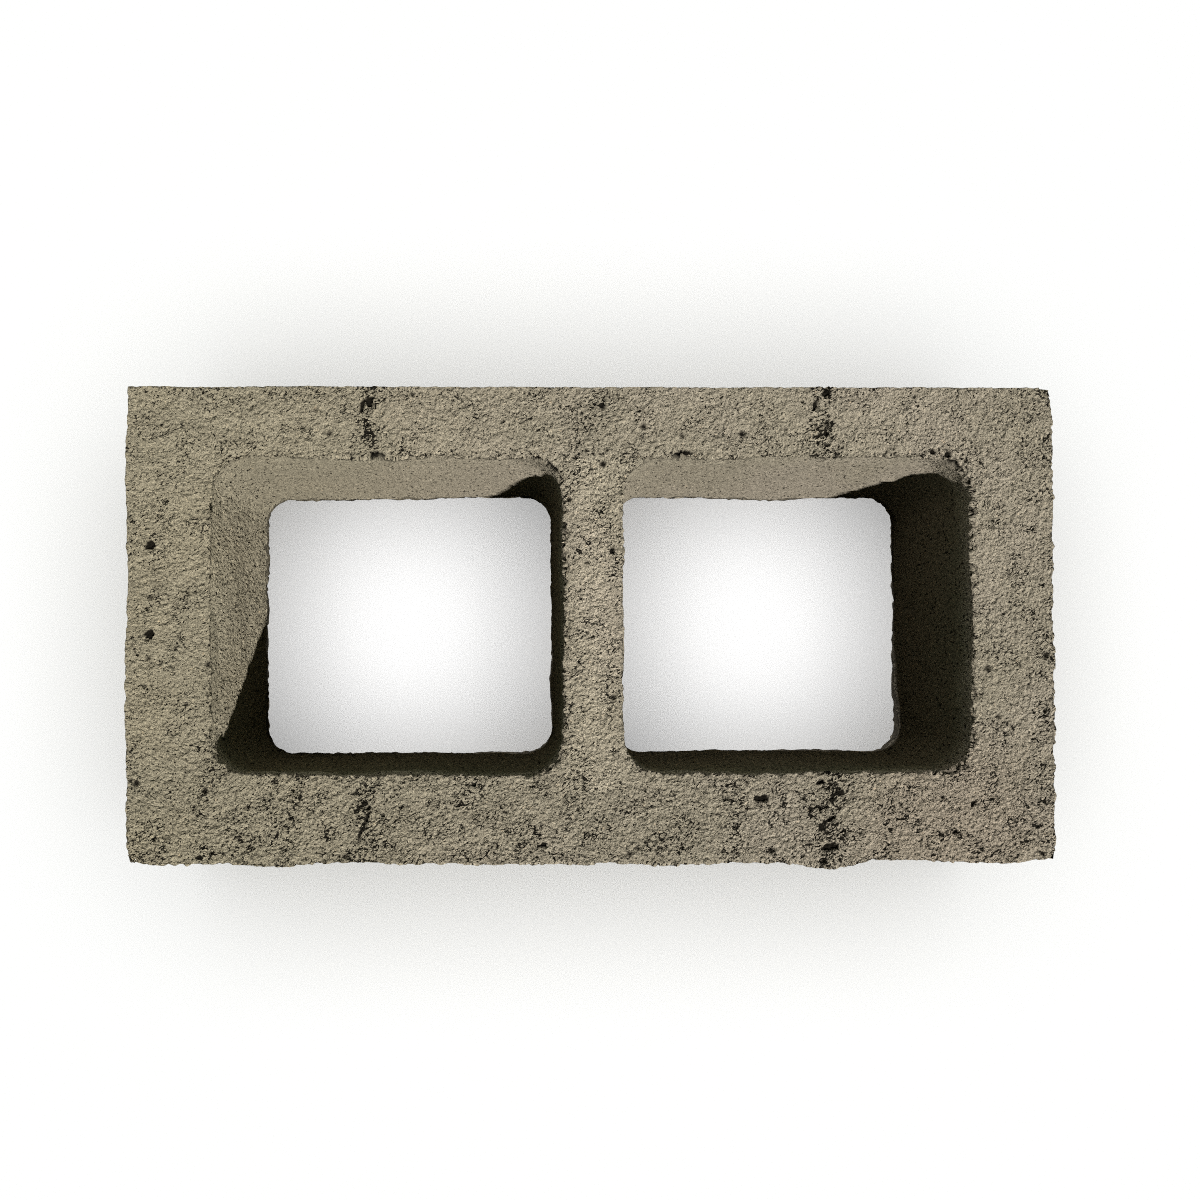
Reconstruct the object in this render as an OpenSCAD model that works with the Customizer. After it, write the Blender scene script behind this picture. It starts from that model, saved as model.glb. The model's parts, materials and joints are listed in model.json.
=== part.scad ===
// Two-core hollow concrete block, lying on its lower bed face as it is laid in a wall.
// +X runs along its length, +Y towards the back face shell and +Z up. The origin is
// the centre of the lower bed face.
// The block is cast in one piece. The mould's cores are drawn out upwards, so each core
// is widest at the upper bed face, and the webs and shells are thinnest there.

/* [Block] */
// Length from end to end: the wall's module less one mortar joint
block_l = 390; // [300:1:500]
// Width, which is the thickness of the wall that it builds
block_w = 200; // [150:1:300]
// Height from bed face to bed face: the course height less one mortar joint
block_h = 190; // [90:1:250]

/* [Webs and face shells, measured at the upper bed face] */
// Thickness of the web at each end
end_web = 35; // [20:0.5:50]
// Thickness of each web between two cores
centre_web = 25; // [20:0.5:60]
// Thickness of the front face shell
front_shell = 37; // [20:0.5:50]
// Thickness of the back face shell
back_shell = 30; // [20:0.5:50]

/* [Cores] */
// Number of cores, side by side along the length
core_count = 2; // [1:1:3]
// Corner radius of a core's mouth at the upper bed face
core_r = 16; // [8:0.5:40]
// Draft, as how much thicker each web and shell grows at each core by the lower bed face
draft = 3; // [0.5:0.5:6]

/* [Hidden] */

// Size of a core's mouth
mouth_l = (block_l - 2 * end_web - (core_count - 1) * centre_web) / core_count;
mouth_w = block_w - front_shell - back_shell;
// Corner radius of the mouth, no more than a third of the core's shorter side
mouth_r = min(core_r, mouth_l / 3, mouth_w / 3);

// How far the core cutter runs past both bed faces
overrun = 2;
// What the cutter's radius changes by over that run, so that its walls stay straight
overrun_r = draft * overrun / block_h;
// Facets of a core's rounded corners
corner_facets = 32;

concrete = [0.53, 0.49, 0.42];

// Lower left corner of a core's mouth, seen from above
function core_start(i) = [
    -block_l / 2 + end_web + i * (mouth_l + centre_web),
    -block_w / 2 + front_shell
];

// A core: its four corners are cones, and the draft is what their radius loses on the way down
module core(i) {
    translate(core_start(i))
        hull()
            for (x = [mouth_r, mouth_l - mouth_r], y = [mouth_r, mouth_w - mouth_r])
                translate([x, y, -overrun])
                    cylinder(
                        h = block_h + 2 * overrun,
                        r1 = mouth_r - draft - overrun_r,
                        r2 = mouth_r + overrun_r,
                        $fn = corner_facets
                    );
}

module block() {
    color(concrete)
        difference() {
            translate([-block_l / 2, -block_w / 2, 0])
                cube([block_l, block_w, block_h]);
            for (i = [0 : core_count - 1])
                core(i);
        }
}

block();
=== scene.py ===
import json
from math import radians

import bmesh
import bpy
import numpy as np
from mathutils import Matrix, Vector

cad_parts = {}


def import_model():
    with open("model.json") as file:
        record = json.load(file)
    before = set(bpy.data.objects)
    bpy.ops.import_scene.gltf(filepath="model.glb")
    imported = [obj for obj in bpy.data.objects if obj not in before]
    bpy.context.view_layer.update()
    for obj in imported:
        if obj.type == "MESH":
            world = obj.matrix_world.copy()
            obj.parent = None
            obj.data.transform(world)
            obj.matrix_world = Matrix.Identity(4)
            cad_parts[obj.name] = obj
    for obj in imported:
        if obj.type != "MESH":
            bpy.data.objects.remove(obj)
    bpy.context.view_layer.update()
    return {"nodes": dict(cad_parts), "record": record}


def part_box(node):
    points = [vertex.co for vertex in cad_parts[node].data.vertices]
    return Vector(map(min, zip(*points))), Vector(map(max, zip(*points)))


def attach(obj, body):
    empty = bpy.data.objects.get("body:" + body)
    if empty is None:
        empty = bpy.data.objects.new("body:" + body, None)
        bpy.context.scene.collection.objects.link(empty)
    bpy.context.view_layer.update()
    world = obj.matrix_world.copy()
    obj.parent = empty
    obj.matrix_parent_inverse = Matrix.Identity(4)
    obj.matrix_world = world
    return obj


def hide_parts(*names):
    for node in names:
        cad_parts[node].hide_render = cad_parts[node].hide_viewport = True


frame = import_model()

# A two-core hollow concrete block, seen from above. It is cast in one piece, so it is one mesh:
# the CAD block with a fine skin, pushed in and out along its normals by the relief of the
# concrete. The same relief, written once, shapes the mesh and feeds the finish.

low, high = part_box("block")
MM = 0.001


# ---------------------------------------------------------------- fields in node trees

class Field:
    """A number that varies over the surface: a socket in a node tree. Sums add nodes to it."""

    def __init__(self, socket):
        self.socket = socket
        self.tree = socket.id_data

    def math(self, operation, *others):
        node = self.tree.nodes.new("ShaderNodeMath")
        node.operation = operation
        for entry, value in zip(node.inputs, (self, *others)):
            feed(entry, value)
        return Field(node.outputs[0])

    def __add__(self, other):
        return self.math("ADD", other)

    def __sub__(self, other):
        return self.math("SUBTRACT", other)

    def __mul__(self, other):
        return self.math("MULTIPLY", other)

    def least(self, other):
        return self.math("MINIMUM", other)

    def most(self, other):
        return self.math("MAXIMUM", other)

    def rise(self, start, end):
        """0 at start, 1 at end and smooth between. Start may be the larger of the two."""
        node = self.tree.nodes.new("ShaderNodeMapRange")
        node.interpolation_type = "SMOOTHSTEP"
        feed(node.inputs["Value"], self)
        feed(node.inputs["From Min"], start)
        feed(node.inputs["From Max"], end)
        return Field(node.outputs["Result"])


def feed(entry, value):
    """Joins a field to a node's input, or sets the input to a number or colour."""
    if isinstance(value, Field):
        entry.id_data.links.new(value.socket, entry)
    else:
        entry.default_value = value


def moved(at, operation, amounts):
    node = at.tree.nodes.new("ShaderNodeVectorMath")
    node.operation = operation
    feed(node.inputs[0], at)
    node.inputs[1].default_value = amounts
    return Field(node.outputs[0])


def shifted(at, offset):
    """The same place moved by so many mm, for a noise that differs from the one at the place."""
    return moved(at, "ADD", (offset, -2 * offset, 3 * offset))


def drawn_out(at, times):
    """Makes a noise so many times longer along the way that the block's top was struck off."""
    turn = at.tree.nodes.new("ShaderNodeVectorRotate")
    turn.rotation_type = "Z_AXIS"
    turn.inputs["Angle"].default_value = -STRIKE_TURN
    feed(turn.inputs["Vector"], at)
    return moved(Field(turn.outputs[0]), "MULTIPLY", (1 / times, 1, 1))


class Noise:
    """Smooth noise, from 0 to 1 and mostly near a half, with its size and offset in mm.

    The offset only tells it apart from the other noises. Drawn is how much longer it is along the
    way that the block's top was struck off.
    """

    def __init__(self, size, detail=0.0, roughness=0.5, offset=0, drawn=1):
        self.size = size
        self.detail = detail
        self.roughness = roughness
        self.offset = offset
        self.drawn = drawn

    def read(self, at):
        if self.offset:
            at = shifted(at, self.offset)
        if self.drawn != 1:
            at = drawn_out(at, self.drawn)
        node = at.tree.nodes.new("ShaderNodeTexNoise")
        feed(node.inputs["Vector"], at)
        node.inputs["Scale"].default_value = 1 / self.size
        node.inputs["Detail"].default_value = self.detail
        node.inputs["Roughness"].default_value = self.roughness
        return Field(node.outputs[0])

    def swing(self, at, height):
        """The noise about 0, from half the height below it to half above."""
        return (self.read(at) - 0.5) * height


class Cells:
    """Grains of that size in mm, packed side by side."""

    def __init__(self, size, offset=0):
        self.size = size
        self.offset = offset

    def read(self, at, output):
        if self.offset:
            at = shifted(at, self.offset)
        node = at.tree.nodes.new("ShaderNodeTexVoronoi")
        feed(node.inputs["Vector"], at)
        node.inputs["Scale"].default_value = 1 / self.size
        return Field(node.outputs[output])

    def distance(self, at):
        """How far it is to the grain's centre, in sizes."""
        return self.read(at, "Distance")

    def number(self, at):
        """A number from 0 to 1 that is the same all over a grain."""
        return self.read(at, "Color")


def stored(tree, name, kind="FLOAT"):
    """An attribute of the mesh, in a geometry tree or in a material."""
    if tree.type == "GEOMETRY":
        node = tree.nodes.new("GeometryNodeInputNamedAttribute")
        node.data_type = kind
        node.inputs["Name"].default_value = name
        return Field(node.outputs["Attribute"])
    node = tree.nodes.new("ShaderNodeAttribute")
    node.attribute_name = name
    return Field(node.outputs["Vector" if kind == "FLOAT_VECTOR" else "Fac"])


# ---------------------------------------------------------------- relief, shared by mesh and finish

STRIKE_TURN = radians(30)  # from X, the way that the voids on top are drawn out

LONG_WAVE = Noise(45.0)
LONG_WAVE_HEIGHT = 3.0  # mm
SHORT_WAVE = Noise(14.0, detail=1.0, offset=40)
SHORT_WAVE_HEIGHT = 2.4
LUMPS = Noise(2.2, detail=1.0, offset=80)

SKIN = Noise(11.0, detail=1.5, offset=90)
SKIN_EDGE = (0.38, 0.62)
SIDE_SKIN = 0.7  # how much skin the moulded sides have, everywhere
SEAM_PATCHES = Noise(7.0, detail=1.0, offset=35)
SEAM_PATCH_EDGE = (0.35, 0.60)
SEAM_LOOSENS = 0.13
SKIN_TIGHTENS = 0.05
COARSE_LOOSENS = 0.018

# A void opens where its noise is below a limit. It gets so many mm deeper for each 1 below that,
# down to a depth in mm.
BROAD_VOIDS = Noise(3.4, detail=2.0, roughness=0.6, offset=15)
BROAD_LIMIT = 0.355
BROAD_SLOPE = 14.0
BROAD_DEPTH = 2.4
CREVICES = Noise(0.95, detail=2.5, roughness=0.7, drawn=1.6)
CREVICE_LIMIT = 0.433
CREVICE_SLOPE = 24.0
NARROW_DEPTH = 1.2
# A crack runs where its noise is this near to a half
CRACKS = Noise(2.6, detail=1.5, offset=50, drawn=1.5)
CRACKED_AREAS = Noise(3.5, detail=1.0, offset=65)
CRACKED_EDGE = (0.50, 0.60)
CRACK_LIMIT = 0.030
CRACK_SLOPE = 30.0

PORES = Cells(17.0)
PORE_RIM = 0.115  # of a cell
PORE_FLOOR = 0.03


def wave(at):
    """How the mould's plates and the fresh concrete's slump bend the faces, in mm."""
    return LONG_WAVE.swing(at, LONG_WAVE_HEIGHT) + SHORT_WAVE.swing(at, SHORT_WAVE_HEIGHT)


def looseness(at, bed, seam, coarse):
    """What is added to where a void begins: more at a seam and in coarse concrete, less on a skin.

    The skin is in patches where the upper bed was struck off, and even on the moulded sides.
    """
    skin = (SKIN.read(at).rise(*SKIN_EDGE) - SIDE_SKIN) * bed + SIDE_SKIN
    patchy = SEAM_PATCHES.read(at).rise(*SEAM_PATCH_EDGE)
    return seam * patchy * SEAM_LOOSENS - skin * SKIN_TIGHTENS + coarse * COARSE_LOOSENS


def voids(at, loose):
    """How deep the surface opens, in mm: broad voids, and narrow crevices and cracks between grains."""
    broad = (loose + BROAD_LIMIT - BROAD_VOIDS.read(at)).most(0.0) * BROAD_SLOPE
    crevice = (loose + CREVICE_LIMIT - CREVICES.read(at)).most(0.0) * CREVICE_SLOPE
    line = CRACKS.read(at) - 0.5
    off_line = line.most(line * -1.0)
    cracked = CRACKED_AREAS.read(at).rise(*CRACKED_EDGE)
    crack = (loose + CRACK_LIMIT - off_line).most(0.0) * CRACK_SLOPE * cracked
    return broad.least(BROAD_DEPTH), crevice.most(crack).least(NARROW_DEPTH)


def pores(at):
    """Scattered air holes of 1 to 4 mm across, from 0 round them to 1 at their bottom."""
    return PORES.distance(at).rise(PORE_RIM, PORE_FLOOR)


# ---------------------------------------------------------------- mesh

SKIN_STEP = 0.5 * MM  # of the mesh on the bed faces, before it is thinned out
SQUEEZE = 4  # the sides' steps are this much longer, up and down
BED_TRIANGLES = 112_000
WALL_TRIANGLES = 86_000
BED_DEPTH = 3 * MM  # what goes with the upper bed face, down from it
ARRIS_REACH = 3.5  # mm, how far from an arris it crumbles
SHARP = radians(40)  # a fold of the CAD block that is sharper than this is an arris
LEVEL = -0.98  # a face whose normal points further down than this lies in the lower bed face
WEAR_ROUNDS = 2  # of smoothing, which wears the arrises a little

# Air holes on the upper bed face: x, y, length, width and turn, in mm and degrees
PITS = [
    (-94, 94, 4.5, 3.5, 70),
    (-97, 92, 5.5, 2, 80),
    (-90.5, 70.5, 7, 4, -30),
    (37, 71.5, 8, 3.6, 10),
    (144, 72.5, 2.6, 2.4, 0),
    (150, 71.5, 3, 2.8, 0),
    (129, 70.5, 2, 1.6, 30),
    (-151.5, 68, 3, 2.2, 0),
    (-142, 70, 2.2, 2, 0),
    (-139, 70, 2, 2, 0),
    (70.5, -73.5, 5.5, 3.5, 0),
    (99, -94, 7, 3.2, 10),
    (95, -67, 4, 1.8, 20),
    (100, -82, 3.2, 1.6, 35),
    (160, -76, 3, 1.6, 50),
    (189, -97, 4, 1.6, -40),
    (152, -88, 2.6, 1.4, 30),
    (99, 98, 5, 3, 50),
    (94, 92.5, 5, 2, 70),
    (-95, -81, 6, 1.6, 70),
    (-98, -88, 6, 1.6, 75),
    (-21.5, -92.5, 4.5, 2, 20),
    (8, 31, 3, 2.4, 60),
    (-159.5, 10.5, 4, 2, 90),
    (-185.5, 33.5, 5, 4, 60),
    (-185.5, -4, 5, 4, 60),
]
PIT_DEPTH = 2.6  # mm, of a pore as well
PIT_FADE = 3 * MM  # how far below the bed face a pit's mark ends
# Corners of the upper bed face that have been knocked off: x, y and reach, in mm
CHIPS = [(-195, -100, 8), (195, 100, 7), (195, -100, 5)]
CHIP_DEPTH = 3.5
# Where a bar that holds the mould's cores has crossed a face shell and left the concrete loose:
# x in mm, the side of the block and how loose
CORE_BARS = [(-95, 1, 0.5), (98, 1, 0.8), (-95, -1, 0.5), (98, -1, 0.8)]
CORE_BAR_WIDTH = 10 * MM
SEAM_DEPTH = 25 * MM
# A row of small voids along the back of the cores' mouths
MOUTH_ROW_Y = 71.5 * MM
MOUTH_ROW_END = 150 * MM
MOUTH_ROW_WIDTH = 2 * MM
MOUTH_ROW_LOOSENESS = 0.3
CORE_DRAG = 4  # the grain on the cores' walls is so many times longer up and down
DRAG_START = 5 * MM  # how far below the mouth that begins
CORE_FOOT = 5 * MM  # what goes with the lower bed face, up from it
# Thin fins where concrete has run out between the front plate and the tamping shoe: x from, to, reach
FINS = [(-153, -119, 1.6), (-60, -20, 0.7), (18, 50, 0.8), (84, 116, 3.0), (150, 190, 0.8)]
FIN_THICKNESS = 9 * MM
FIN_ROOT = 1.5 * MM

EDGE_REACH = 8 * MM  # how far in from an outer face the concrete goes with it
BACK_STIFFENS = 0.75  # how much less the back face has slumped
# How much less an outer arris crumbles, where 1 is not at all
BACK_SPARED = 1.0
FRONT_SPARED = 0.35
LEFT_SPARED = 0.8
RIGHT_SPARED = 0.35
LOW_CRUMBLE = 0.4  # what is left of an arris's crumbling far below the upper bed face
# The right edges of the cores' mouths crumble more: how far that reaches sideways, past the stated
# opening's ends and down
MOUTH_REACH = 16 * MM
MOUTH_OVERLAP = 8 * MM
MOUTH_DEPTH = 60 * MM

INSIDE = 10 * MM  # how far in from the outer faces a wall is a core's
UPRIGHT = 0.5  # a wall's normal has less Z than this
# How strongly the voids below the upper bed face are painted in shade, and what the webs' walls in the
# cores add
SIDE_VOID_SHADE = 0.4
WEB_VOID_SHADE = 0.6
# How strong the fine relief is on the sides and on the cores' walls, and what is added to the
# cores' walls on the webs and at the mouths' right edges, and to the bed face where it is coarse
SIDE_GRIT = 0.4
CORE_GRIT = 0.17
WEB_GRIT = 0.25
MOUTH_GRIT = 0.7
COARSE_GRIT = 0.25
# How far the coarse concrete reaches from the front, the middle and the right end
FRONT_COARSE = 60 * MM
CENTRE_COARSE = 25 * MM
RIGHT_COARSE = 40 * MM
RIGHT_COARSENESS = 0.8
# How much paler a core's wall is painted when it faces back and darker when it faces the front, as
# painted light and shade, and how much paler the middle of the centre web is
WALL_LIGHT_AND_SHADE = 0.3
WEB_TONE = 0.25
WEB_REACH = 20 * MM
WEB_END = 70 * MM

# Where a mark counts as an edge: from none of it to all of it
PIT_EDGE = (0.48, 0.56)
CHIP_EDGE = (0.1, 0.7)
CHIP_START = (0.0, 0.2)
OUTLINES = Noise(1.8, detail=1.5, offset=5)  # how uneven a pit's or a chip's outline is
OUTLINE_SHARE = 0.8
RAGGED = Noise(3.2, detail=1.0, offset=60)
RAGGED_HEIGHT = 5.0  # mm
SPALLS = Noise(6.0, detail=2.0, offset=25)
SPALL_EDGE = (0.44, 0.32)
SPALL_DEPTH = 2.4
CRUMBS = Cells(1.9, offset=60)
SEAM_CRUMBS = 1.5
MOUTH_CRUMBS = 2.4
MOUTH_CRUMBLE = 0.8  # an arris that crumbles more than this has crumbs
CRUMB_LIMIT = 0.8  # how far an arris may stand out, in mm
BITES = Noise(3.3, detail=1.5, offset=110)
BITE_SHARE = 0.32
BITE_EDGE = (0.83, 0.86)
BITE_GAIN = 1.8  # brings the mouths' right edges to about 1
BROAD_SHARE = 0.8  # of a broad void's depth that the mesh takes, and what a seam adds
SEAM_SHARE = 0.4
LUMP_HEIGHT = 1.2


def points_of(mesh):
    flat = np.empty(len(mesh.vertices) * 3, np.float32)
    mesh.vertices.foreach_get("co", flat)
    return flat.reshape(-1, 3)


def normals_of(mesh):
    flat = np.empty(len(mesh.vertices) * 3, np.float32)
    mesh.vertex_normals.foreach_get("vector", flat)
    return flat.reshape(-1, 3)


def move_points(mesh, points):
    mesh.vertices.foreach_set("co", points.ravel())


def keep(mesh, name, values, kind="FLOAT"):
    attribute = mesh.attributes.new(name, kind, "POINT")
    field = "vector" if kind == "FLOAT_VECTOR" else "value"
    attribute.data.foreach_set(field, np.ascontiguousarray(values, np.float32).ravel())


def triangles_of(mesh):
    return sum(len(face.vertices) - 2 for face in mesh.polygons)


def apply_modifiers(piece):
    graph = bpy.context.evaluated_depsgraph_get()
    piece.data = bpy.data.meshes.new_from_object(piece.evaluated_get(graph))
    piece.modifiers.clear()


def linked(name, data):
    piece = bpy.data.objects.new(name, data)
    bpy.context.scene.collection.objects.link(piece)
    return piece


def cad_form():
    form = bmesh.new()
    form.from_mesh(frame["nodes"]["block"].data)
    bmesh.ops.remove_doubles(form, verts=form.verts, dist=0.01 * MM)
    return form


def mesh_of(form, name):
    mesh = bpy.data.meshes.new(name)
    form.to_mesh(mesh)
    form.free()
    return mesh


def skinned_block():
    """The CAD block as a closed mesh of small quads, with its arrises a little worn."""
    form = cad_form()
    form.transform(Matrix.Diagonal((1, 1, 1 / SQUEEZE, 1)))
    piece = linked("cast_block", mesh_of(form, "cast_block"))
    skin = piece.modifiers.new("skin", "REMESH")
    skin.mode = "VOXEL"
    skin.voxel_size = SKIN_STEP
    wear = piece.modifiers.new("wear", "SMOOTH")
    wear.factor = 0.5
    wear.iterations = WEAR_ROUNDS
    apply_modifiers(piece)
    piece.data.transform(Matrix.Diagonal((1, 1, SQUEEZE, 1)))
    return piece


def arris_lines():
    """The CAD block's arrises, as edges with no faces."""
    form = cad_form()
    soft = [edge for edge in form.edges if edge.calc_face_angle(0) < SHARP]
    bmesh.ops.delete(form, geom=form.faces[:], context="FACES_ONLY")
    bmesh.ops.delete(form, geom=soft, context="EDGES")
    return linked("arrises", mesh_of(form, "arrises"))


def closeness(distance, reach):
    """1 where the distance is 0, falling to 0 at the reach."""
    return np.clip(1 - np.abs(distance) / reach, 0, 1)


def depth(at):
    """How far a place is below the upper bed face."""
    return high.z - at[:, 2]


def pit_closeness(at):
    """1 at the middle of a pit, a half on its outline and less outside."""
    near = np.zeros(len(at), np.float32)
    for x, y, length, width, turn in PITS:
        turn = radians(turn)
        dx = at[:, 0] - x * MM
        dy = at[:, 1] - y * MM
        along = (dx * np.cos(turn) + dy * np.sin(turn)) / (length / 2 * MM)
        across = (dy * np.cos(turn) - dx * np.sin(turn)) / (width / 2 * MM)
        down = depth(at) / PIT_FADE
        near = np.maximum(near, 1 - 0.5 * np.sqrt(along**2 + across**2 + down**2))
    return near


def chip_closeness(at):
    near = np.zeros(len(at), np.float32)
    for x, y, reach in CHIPS:
        corner = np.array((x * MM, y * MM, high.z))
        near = np.maximum(near, closeness(np.linalg.norm(at - corner, axis=1), reach * MM))
    return near


def seam_closeness(at):
    """How loose the concrete is: where a core bar crossed a shell, and along the mouths' backs."""
    near = np.zeros(len(at), np.float32)
    for x, side, loose in CORE_BARS:
        bar = closeness(at[:, 0] - x * MM, CORE_BAR_WIDTH) * (at[:, 1] * side > 0)
        near = np.maximum(near, loose * bar)
    row = closeness(at[:, 1] - MOUTH_ROW_Y, MOUTH_ROW_WIDTH) * (np.abs(at[:, 0]) < MOUTH_ROW_END)
    near = np.maximum(near, MOUTH_ROW_LOOSENESS * row)
    return near * closeness(depth(at), SEAM_DEPTH)


def bed_closeness(at):
    """1 on the upper bed face, falling to 0 a little below it."""
    return closeness(depth(at), BED_DEPTH)


def slump(at):
    """How freely a face has slumped since it left the mould: least on the back."""
    return 1 - BACK_STIFFENS * closeness(at[:, 1] - high.y, EDGE_REACH)


def mouth_closeness(at):
    """How near a place is to the right edge of a core's mouth."""
    near = np.zeros(len(at), np.float32)
    for opening in frame["record"]["physics"]["openings"]:
        start, end = opening["box_m"]
        on_side = (at[:, 1] > start[1] - MOUTH_OVERLAP) & (at[:, 1] < end[1] + MOUTH_OVERLAP)
        near = np.maximum(near, closeness(at[:, 0] - end[0], MOUTH_REACH) * on_side)
    return near * closeness(depth(at), MOUTH_DEPTH)


def crumbling(at):
    """How much an arris crumbles: most on the right of each core's mouth and least along the back."""
    back = closeness(at[:, 1] - high.y, EDGE_REACH) * BACK_SPARED
    front = closeness(at[:, 1] - low.y, EDGE_REACH) * FRONT_SPARED
    left = closeness(at[:, 0] - low.x, EDGE_REACH) * LEFT_SPARED
    right = closeness(at[:, 0] - high.x, EDGE_REACH) * RIGHT_SPARED
    spared = np.max([back, front, left, right], axis=0)
    from_top = LOW_CRUMBLE + (1 - LOW_CRUMBLE) * closeness(depth(at), MOUTH_DEPTH)
    return (1.0 - spared) * from_top + mouth_closeness(at)


def core_walls(at, normals):
    """Whether a place is on a wall of a core, and above its lower arris."""
    inside = (np.abs(at[:, 0]) < high.x - INSIDE) & (np.abs(at[:, 1]) < high.y - INSIDE)
    return inside & (np.abs(normals[:, 2]) < UPRIGHT) & (at[:, 2] > low.z + CORE_FOOT)


def void_shade_strength(at, normals):
    """How strong the painted shade in the voids is: most on the bed face and on the webs' walls in the
    cores.
    """
    sides = SIDE_VOID_SHADE + WEB_VOID_SHADE * np.abs(normals[:, 0]) * core_walls(at, normals)
    return np.maximum(sides, bed_closeness(at))


def coarseness(at):
    """How coarse the concrete is: most in the front face shell, then in the centre web."""
    front = closeness(at[:, 1] - low.y, FRONT_COARSE)
    centre = closeness(at[:, 0], CENTRE_COARSE)
    right = closeness(at[:, 0] - high.x, RIGHT_COARSE)
    return np.max([np.minimum(front * 2, 1), centre, right * RIGHT_COARSENESS], axis=0)


def grittiness(at, normals):
    """How strong the fine relief is: most on the bed face, and least on the cores' walls."""
    walls = CORE_GRIT + WEB_GRIT * np.abs(normals[:, 0])
    walls = walls + MOUTH_GRIT * np.maximum(crumbling(at) - 1, 0)
    sides = np.where(core_walls(at, normals), walls, SIDE_GRIT)
    return np.maximum(sides, bed_closeness(at) * (1 + COARSE_GRIT * coarseness(at)))


def tone_and_wall_shade(at, normals):
    """How pale the concrete is: the centre web is the palest, and the cores' walls carry painted light
    and shade, paler where they face the back and darker where they face the front.
    """
    web = closeness(at[:, 0], WEB_REACH) * (np.abs(at[:, 1]) < WEB_END)
    return 1 + core_walls(at, normals) * (WALL_LIGHT_AND_SHADE * normals[:, 1]) + WEB_TONE * web


def dragged(at, normals):
    """The places to read the grain at. The cores dragged it up their walls as they were pulled out."""
    times = 1 + (CORE_DRAG - 1) * core_walls(at, normals)
    below = np.minimum(at[:, 2] - (high.z - DRAG_START), 0)
    places = at.copy()
    places[:, 2] += below / times - below
    return places


def fin_reach(at):
    out = np.zeros(len(at), np.float32)
    for start, end, reach in FINS:
        middle = (start + end) / 2 * MM
        half = (end - start) / 2 * MM
        out += reach * MM * closeness(at[:, 0] - middle, half) ** 0.6
    return out * closeness(at[:, 1] - low.y, FIN_ROOT) * closeness(depth(at), FIN_THICKNESS)


def marked_block():
    """The skinned block with its fins, and with all that the relief and the finish read off it."""
    piece = skinned_block()
    mesh = piece.data
    at = points_of(mesh)
    normals = normals_of(mesh)
    at[:, 1] -= fin_reach(at)
    move_points(mesh, at)
    keep(mesh, "rest", at / MM, "FLOAT_VECTOR")
    keep(mesh, "grain", dragged(at, normals) / MM, "FLOAT_VECTOR")
    keep(mesh, "pit", pit_closeness(at))
    keep(mesh, "chip", chip_closeness(at))
    keep(mesh, "seam", seam_closeness(at))
    keep(mesh, "slump", slump(at))
    keep(mesh, "crumble", crumbling(at))
    keep(mesh, "bed", bed_closeness(at))
    keep(mesh, "coarse", coarseness(at))
    # open: how strongly the finish paints shade into the voids
    keep(mesh, "open", void_shade_strength(at, normals))
    keep(mesh, "grit", grittiness(at, normals))
    keep(mesh, "tone_and_wall_shade", tone_and_wall_shade(at, normals))
    return piece


def arris_closeness(tree, lines):
    """A field: 1 on an arris, falling to 0 at the reach."""
    info = tree.nodes.new("GeometryNodeObjectInfo")
    info.inputs["Object"].default_value = lines
    near = tree.nodes.new("GeometryNodeProximity")
    near.target_element = "EDGES"
    tree.links.new(info.outputs["Geometry"], near.inputs[0])
    return (Field(near.outputs["Distance"]) * (1 / MM)).rise(ARRIS_REACH, 0.0)


def remembered(geometry, name, field):
    """Keeps a field on the mesh under that name."""
    node = geometry.tree.nodes.new("GeometryNodeStoreNamedAttribute")
    node.domain = "POINT"
    node.inputs["Name"].default_value = name
    feed(node.inputs["Geometry"], geometry)
    feed(node.inputs["Value"], field)
    return Field(node.outputs[0])


def pushed(geometry, height):
    """Moves the mesh out along its normals by a height in mm."""
    tree = geometry.tree
    normal = Field(tree.nodes.new("GeometryNodeInputNormal").outputs[0])
    push = tree.nodes.new("ShaderNodeVectorMath")
    push.operation = "SCALE"
    feed(push.inputs[0], normal)
    feed(push.inputs["Scale"], height * MM)
    node = tree.nodes.new("GeometryNodeSetPosition")
    feed(node.inputs["Geometry"], geometry)
    feed(node.inputs["Offset"], Field(push.outputs[0]))
    return Field(node.outputs[0])


def holes(at, outline, arris):
    """Pits, pores and the bites out of the mouths' right edges, from 0 round them to 1 inside."""
    tree = at.tree
    pit = (stored(tree, "pit") + outline).rise(*PIT_EDGE)
    mouth_edge = arris * ((stored(tree, "crumble") - 1.0) * BITE_GAIN).most(0.0)
    bite = (BITES.read(at) + mouth_edge * BITE_SHARE).rise(*BITE_EDGE)
    return pit.most(pores(at)).most(bite)


def crumbled(at, arris):
    """How an arris has crumbled and a seam come loose, in mm."""
    crumble = stored(at.tree, "crumble")
    ragged = RAGGED.swing(at, RAGGED_HEIGHT)
    spalled = SPALLS.read(at).rise(*SPALL_EDGE) * SPALL_DEPTH
    at_mouth = arris * (crumble - MOUTH_CRUMBLE).most(0.0) * MOUTH_CRUMBS
    crumbs = (CRUMBS.number(at) - 0.5) * (stored(at.tree, "seam") * SEAM_CRUMBS + at_mouth)
    return ((ragged - spalled) * arris * crumble + crumbs).least(CRUMB_LIMIT)


def chipped(tree, outline):
    """How deep a corner has been knocked off, in mm."""
    chip = stored(tree, "chip")
    return (chip + outline).rise(*CHIP_EDGE) * chip.rise(*CHIP_START) * CHIP_DEPTH


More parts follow.
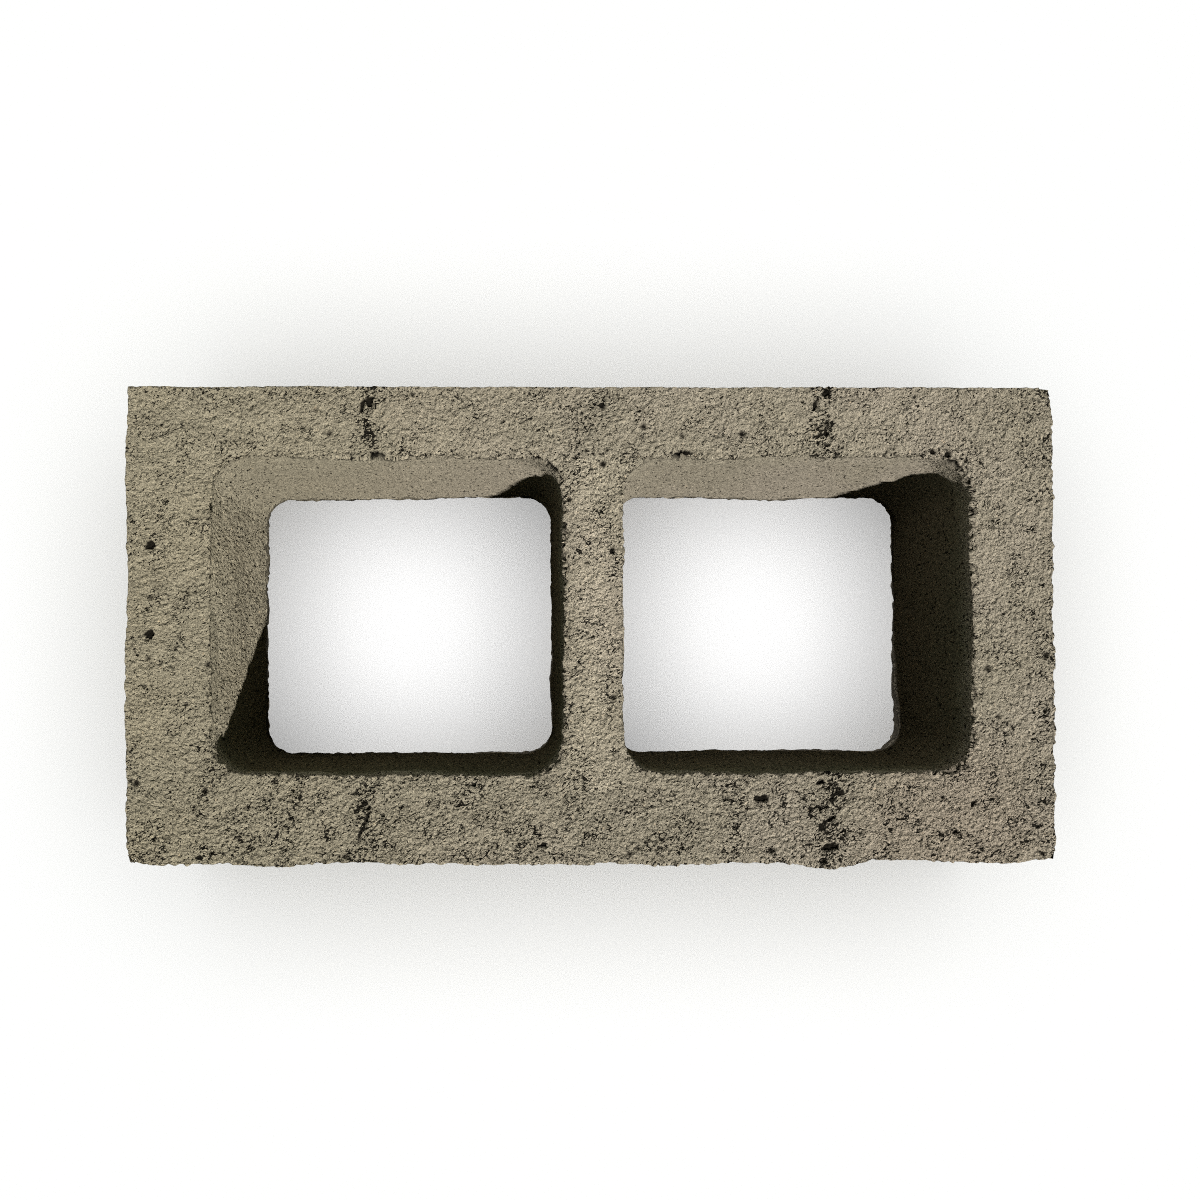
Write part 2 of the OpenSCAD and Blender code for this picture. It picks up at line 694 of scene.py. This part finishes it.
def relief_tree(lines):
    """The nodes that push the marked block into the concrete's relief."""
    tree = bpy.data.node_groups.new("concrete_relief", "GeometryNodeTree")
    tree.interface.new_socket("Geometry", in_out="INPUT", socket_type="NodeSocketGeometry")
    tree.interface.new_socket("Geometry", in_out="OUTPUT", socket_type="NodeSocketGeometry")
    geometry = Field(tree.nodes.new("NodeGroupInput").outputs[0])
    at = stored(tree, "rest", "FLOAT_VECTOR")
    seam = stored(tree, "seam")
    arris = arris_closeness(tree, lines)
    outline = OUTLINES.swing(at, OUTLINE_SHARE)
    loose = looseness(at, stored(tree, "bed"), seam, stored(tree, "coarse"))
    broad = voids(at, loose)[0]
    hole = holes(at, outline, arris)
    height = wave(at) * stored(tree, "slump") - chipped(tree, outline)
    height = height - broad * (seam * SEAM_SHARE + BROAD_SHARE) - hole * PIT_DEPTH
    height = height + crumbled(at, arris) + LUMPS.swing(at, LUMP_HEIGHT)
    # The holes are kept for the finish, which paints them near black as painted shade
    geometry = remembered(geometry, "hollow", hole)
    end = tree.nodes.new("NodeGroupOutput")
    feed(end.inputs[0], pushed(geometry, height))
    return tree


def on_bed(mesh):
    """Whether each of the mesh's points goes with the upper bed face."""
    return points_of(mesh)[:, 2] > high.z - BED_DEPTH


def thin_out(piece, name, vertices, triangles):
    """Thins out the mesh at those vertices until the whole mesh has so many triangles."""
    group = piece.vertex_groups.new(name=name)
    group.add(vertices.tolist(), 1.0, "REPLACE")
    thin = piece.modifiers.new(name, "DECIMATE")
    thin.vertex_group = name
    thin.ratio = triangles / triangles_of(piece.data)
    apply_modifiers(piece)
    piece.vertex_groups.clear()


def clean_up(mesh):
    """Splits the mesh into triangles, and deletes stray ones that the thinning left on an edge."""
    form = bmesh.new()
    form.from_mesh(mesh)
    bmesh.ops.triangulate(form, faces=form.faces[:])
    crowded = {face for edge in form.edges if len(edge.link_faces) > 2 for face in edge.link_faces}
    flaps = [face for face in crowded if any(edge.is_boundary for edge in face.edges)]
    bmesh.ops.delete(form, geom=flaps, context="FACES")
    form.to_mesh(mesh)
    form.free()


def shade(mesh):
    """Shades the mesh smooth, apart from the lower bed face, which is ground flat."""
    flat = np.empty(len(mesh.polygons) * 3, np.float32)
    mesh.polygons.foreach_get("normal", flat)
    downward = flat.reshape(-1, 3)[:, 2] < LEVEL
    mesh.polygons.foreach_set("use_smooth", ~downward)


def block():
    piece = marked_block()
    lines = arris_lines()
    relief = piece.modifiers.new("relief", "NODES")
    relief.node_group = relief_tree(lines)
    apply_modifiers(piece)
    bpy.data.objects.remove(lines)
    at = points_of(piece.data)
    at[:, 2] = np.maximum(at[:, 2], low.z)
    move_points(piece.data, at)
    bed_points = on_bed(piece.data)
    bed_triangles = 2 * int(bed_points.sum())
    thin_out(piece, "walls", np.nonzero(~bed_points)[0], bed_triangles + WALL_TRIANGLES)
    bed_points = on_bed(piece.data)
    thin_out(piece, "bed", np.nonzero(bed_points)[0], BED_TRIANGLES + WALL_TRIANGLES)
    clean_up(piece.data)
    shade(piece.data)
    return piece


# ---------------------------------------------------------------- finish

LEFT_COLOUR = (0.395, 0.352, 0.255, 1)
RIGHT_COLOUR = (0.435, 0.385, 0.308, 1)
COLOUR_CHANGE = (-195.0, 40.0)  # x in mm, from the left's colour to the right's
PATCHES = Noise(45.0, detail=2.0, offset=200)
PATCH_EDGE = (0.35, 0.65)
PATCH_SHARE = 0.5
PATCH_COLOUR = (0.37, 0.335, 0.25, 1)
STAIN = (150.0, -84.0, 190.0)  # the middle of a browner area of the bed face, in mm
STAIN_REACH = (55.0, 15.0)
STAIN_SHARE = 0.6
STAIN_COLOUR = (0.44, 0.37, 0.295, 1)
GRAINS = Cells(0.8)
# How bright a grain is, by its number
GRAIN_TONES = [
    (0.0, (0.70, 0.69, 0.67)),
    (0.3, (0.95, 0.95, 0.94)),
    (0.7, (1.05, 1.05, 1.05)),
    (0.93, (1.25, 1.23, 1.21)),
    (0.97, (1.45, 1.34, 1.24)),
]
SPECKS = Noise(0.45, offset=33)
SPECK_CONTRAST = 1.6
SPECK_LEVEL = 1.02
# The colour that voids and holes are painted towards: painted shade, near black, more the deeper a void
# is
VOID_SHADE_COLOUR = (0.012, 0.010, 0.007, 1)
NARROW_DARKENS = 1.7  # for each mm of depth
BROAD_DARKENS = 0.5
DARKEST = 0.985  # share of the painted void shade, at most
# Heights of the relief that is too fine for the mesh, in mm
GRIT = Noise(1.2, detail=3.0, roughness=0.65, offset=120)
GRIT_BUMP = 3.5
LUMP_BUMP = 3.0
PEBBLES = Cells(1.7, offset=150)
PEBBLE_STEP = 0.35  # between the highest and the lowest pebble
PEBBLE_ROUND = 1.6  # how far a pebble falls off towards its rim
VOID_BUMP = 2.0


def mixed(share, first, second, blend="MIX"):
    """Two colours, mixed by a share of the second or, with another blend, by that."""
    tree = next(entry.tree for entry in (share, first, second) if isinstance(entry, Field))
    node = tree.nodes.new("ShaderNodeMix")
    node.data_type = "RGBA"
    node.blend_type = blend
    feed(node.inputs["Factor"], share)
    feed(node.inputs[6], first)
    feed(node.inputs[7], second)
    return Field(node.outputs[2])


def ramp(share, stops):
    """A colour for each share, from a list of shares and colours."""
    node = share.tree.nodes.new("ShaderNodeValToRGB")
    feed(node.inputs[0], share)
    elements = node.color_ramp.elements
    while len(elements) < len(stops):
        elements.new(0.5)
    for element, (position, colour) in zip(elements, stops):
        element.position = position
        element.color = (*colour, 1)
    return Field(node.outputs["Color"])


def distance_to(at, place):
    away = at.tree.nodes.new("ShaderNodeVectorMath")
    away.operation = "DISTANCE"
    feed(away.inputs[0], at)
    away.inputs[1].default_value = place
    return Field(away.outputs["Value"])


def along_x(at):
    split = at.tree.nodes.new("ShaderNodeSeparateXYZ")
    feed(split.inputs[0], at)
    return Field(split.outputs["X"])


def paste_colour(at):
    """The colour of the cement paste, which changes slowly over the block."""
    colour = mixed(along_x(at).rise(*COLOUR_CHANGE), LEFT_COLOUR, RIGHT_COLOUR)
    patch = PATCHES.read(at).rise(*PATCH_EDGE)
    colour = mixed(patch * PATCH_SHARE, colour, PATCH_COLOUR)
    stain = distance_to(at, STAIN).rise(*STAIN_REACH)
    return mixed(stain * STAIN_SHARE, colour, STAIN_COLOUR)


def concrete_colour(at, broad, narrow):
    """The paste with its grains and specks, with painted shade that makes it near black in the voids
    and holes.
    """
    tree = at.tree
    colour = mixed(1.0, paste_colour(at), ramp(GRAINS.number(at), GRAIN_TONES), "MULTIPLY")
    speck = SPECKS.swing(at, SPECK_CONTRAST) + SPECK_LEVEL
    # The stored tone gives a paler centre web and painted light and shade on the cores' walls: lighter
    # where a wall faces the back, darker where it faces the front
    colour = mixed(1.0, colour, speck * stored(tree, "tone_and_wall_shade"), "MULTIPLY")
    # Painted shade: the voids, more the deeper they are, and the holes are painted near black, as the
    # shade that falls into them
    dark = (narrow * NARROW_DARKENS).most(broad * BROAD_DARKENS) * stored(tree, "open")
    dark = dark.most(stored(tree, "hollow")).least(DARKEST)
    return mixed(dark, colour, VOID_SHADE_COLOUR)


def grain_height(at, broad, narrow):
    """The relief that is too fine for the mesh, in mm."""
    nearby = PEBBLES.distance(at)
    domes = PEBBLES.number(at) * PEBBLE_STEP - nearby * nearby * PEBBLE_ROUND
    height = GRIT.read(at) * GRIT_BUMP + LUMPS.read(at) * LUMP_BUMP + domes
    height = height - broad * VOID_BUMP - narrow * VOID_BUMP
    return height * stored(at.tree, "grit")


def concrete():
    material = bpy.data.materials.new("concrete")
    material.use_nodes = True
    tree = material.node_tree
    shader = tree.nodes["Principled BSDF"]
    at = stored(tree, "grain", "FLOAT_VECTOR")
    loose = looseness(at, stored(tree, "bed"), stored(tree, "seam"), stored(tree, "coarse"))
    broad, narrow = voids(at, loose)
    feed(shader.inputs["Base Color"], concrete_colour(at, broad, narrow))
    shader.inputs["Roughness"].default_value = 0.95
    shader.inputs["Diffuse Roughness"].default_value = 1.0
    shader.inputs["Specular IOR Level"].default_value = 0.1
    bump = tree.nodes.new("ShaderNodeBump")
    bump.inputs["Distance"].default_value = MM
    bump.inputs["Strength"].default_value = 1.0
    feed(bump.inputs["Height"], grain_height(at, broad, narrow))
    tree.links.new(bump.outputs[0], shader.inputs["Normal"])
    return material


# ---------------------------------------------------------------- studio

EYE = Vector((-30 * MM, -20 * MM, high.z + 959 * MM))
LOOK_AT = Vector((2.7 * MM, 10.1 * MM, high.z))
ROLL = radians(-0.15)
SENSOR = 36
LENS = 68.5
WHITE = (1, 1, 1)
KEY_COLOUR = (1, 0.98, 0.94)
KEY_TRAVEL = (-0.19, 0.385, -1)  # the way the key light travels
SIDE_TRAVEL = (0.7, -0.7, 0.05)  # the light on the back and left sides, almost level
DOWN = (0, 0, -1)
FLOOR_HALF = 3.0
FLOOR_COLOUR = (0.9, 0.9, 0.9, 1)
CORE_LAMP_HEIGHT = 0.1
CORE_LAMP_SIZE = 0.05
CORE_LAMP_POWER = 0.05
# The sky's heights, from 0 at the horizon to 1 straight up: where one thing gives way to the next
FLOOR_TO_SKY = (-0.05, 0.02)
SKY_TO_RING = (0.3, 0.1)
LOW_TO_HIGH_COLOUR = (0.1, 0.3)
LOW_SKY_COLOUR = (1.0, 0.98, 0.95, 1)
HIGH_SKY_COLOUR = (0.82, 1.0, 0.72, 1)
HIGH_SKY_STRENGTH = 0.05
RING_STRENGTH = 0.9


def camera():
    data = bpy.data.cameras.new("camera")
    data.sensor_width = SENSOR
    data.lens = LENS
    data.dof.use_dof = False
    piece = linked("camera", data)
    back = (EYE - LOOK_AT).normalized()
    right = Vector((0, 1, 0)).cross(back).normalized()
    turn = Matrix((right, back.cross(right), back)).transposed()
    turn = Matrix.Rotation(ROLL, 3, back) @ turn
    piece.matrix_world = Matrix.Translation(EYE) @ turn.to_4x4()
    bpy.context.scene.camera = piece


def lamp(name, kind, lit, strength, colour=WHITE):
    """A light that lights one thing only."""
    data = bpy.data.lights.new(name, kind)
    data.energy = strength
    data.color = colour
    piece = linked(name, data)
    receivers = bpy.data.collections.new(name + "_lights")
    receivers.objects.link(lit)
    piece.light_linking.receiver_collection = receivers
    return piece


def sun(name, lit, travel, strength, spread, colour=WHITE):
    """A sun that travels that way, with its spread in degrees."""
    piece = lamp(name, "SUN", lit, strength, colour)
    piece.data.angle = radians(spread)
    piece.rotation_euler = Vector(travel).to_track_quat("-Z", "Y").to_euler()


def core_lamp(name, lit, opening):
    """Lights the floor that shows through a core."""
    start, end = (Vector(corner) for corner in opening["box_m"])
    piece = lamp(name, "AREA", lit, CORE_LAMP_POWER)
    piece.data.size = CORE_LAMP_SIZE
    piece.location = (start + end) / 2
    piece.location.z = CORE_LAMP_HEIGHT
    piece.visible_camera = False


def floor():
    mesh = bpy.data.meshes.new("floor")
    corners = [(-1, -1, 0), (1, -1, 0), (1, 1, 0), (-1, 1, 0)]
    mesh.from_pydata([Vector(corner) * FLOOR_HALF for corner in corners], [], [(0, 1, 2, 3)])
    piece = linked("floor", mesh)
    material = bpy.data.materials.new("pale_floor")
    material.use_nodes = True
    shader = material.node_tree.nodes["Principled BSDF"]
    shader.inputs["Base Color"].default_value = FLOOR_COLOUR
    shader.inputs["Roughness"].default_value = 1.0
    shader.inputs["Specular IOR Level"].default_value = 0.0
    mesh.materials.append(material)
    piece.visible_diffuse = False
    piece.visible_glossy = False
    piece.visible_shadow = False
    return piece


def world():
    """A ring of soft light near the horizon and a weak one above, but white for the eye."""
    scene = bpy.context.scene
    scene.world = bpy.data.worlds.new("studio")
    scene.world.use_nodes = True
    tree = scene.world.node_tree
    back = tree.nodes["Background"]
    way = tree.nodes.new("ShaderNodeTexCoord")
    split = tree.nodes.new("ShaderNodeSeparateXYZ")
    tree.links.new(way.outputs["Generated"], split.inputs[0])
    height = Field(split.outputs["Z"])
    light = mixed(height.rise(*LOW_TO_HIGH_COLOUR), LOW_SKY_COLOUR, HIGH_SKY_COLOUR)
    ring = height.rise(*SKY_TO_RING) * RING_STRENGTH
    sky = height.rise(*FLOOR_TO_SKY) * (ring + HIGH_SKY_STRENGTH)
    path = tree.nodes.new("ShaderNodeLightPath")
    seen = Field(path.outputs["Is Camera Ray"])
    feed(back.inputs["Color"], mixed(seen, light, (*WHITE, 1)))
    feed(back.inputs["Strength"], sky.most(seen))


def picture_settings():
    """Plain colours and unsoftened pixels, so that the grain stays crisp."""
    scene = bpy.context.scene
    scene.view_settings.view_transform = "Standard"
    scene.view_settings.look = "None"
    scene.cycles.use_denoising = False
    scene.cycles.filter_width = 1.0


def lights(piece, ground):
    x, y, z = SIDE_TRAVEL
    sun("key", piece, KEY_TRAVEL, strength=3.2, spread=1.5, colour=KEY_COLOUR)
    sun("floor_light", ground, DOWN, strength=3.3, spread=58)
    sun("side_back", piece, SIDE_TRAVEL, strength=1.7, spread=8)
    sun("side_front", piece, (-x, -y, z), strength=1.5, spread=8)
    for opening in frame["record"]["physics"]["openings"]:
        core_lamp(opening["name"] + "_lamp", ground, opening)


picture_settings()
camera()
piece = block()
piece.data.materials.clear()
piece.data.materials.append(concrete())
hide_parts("block")
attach(piece, "root")
ground = floor()
world()
lights(piece, ground)
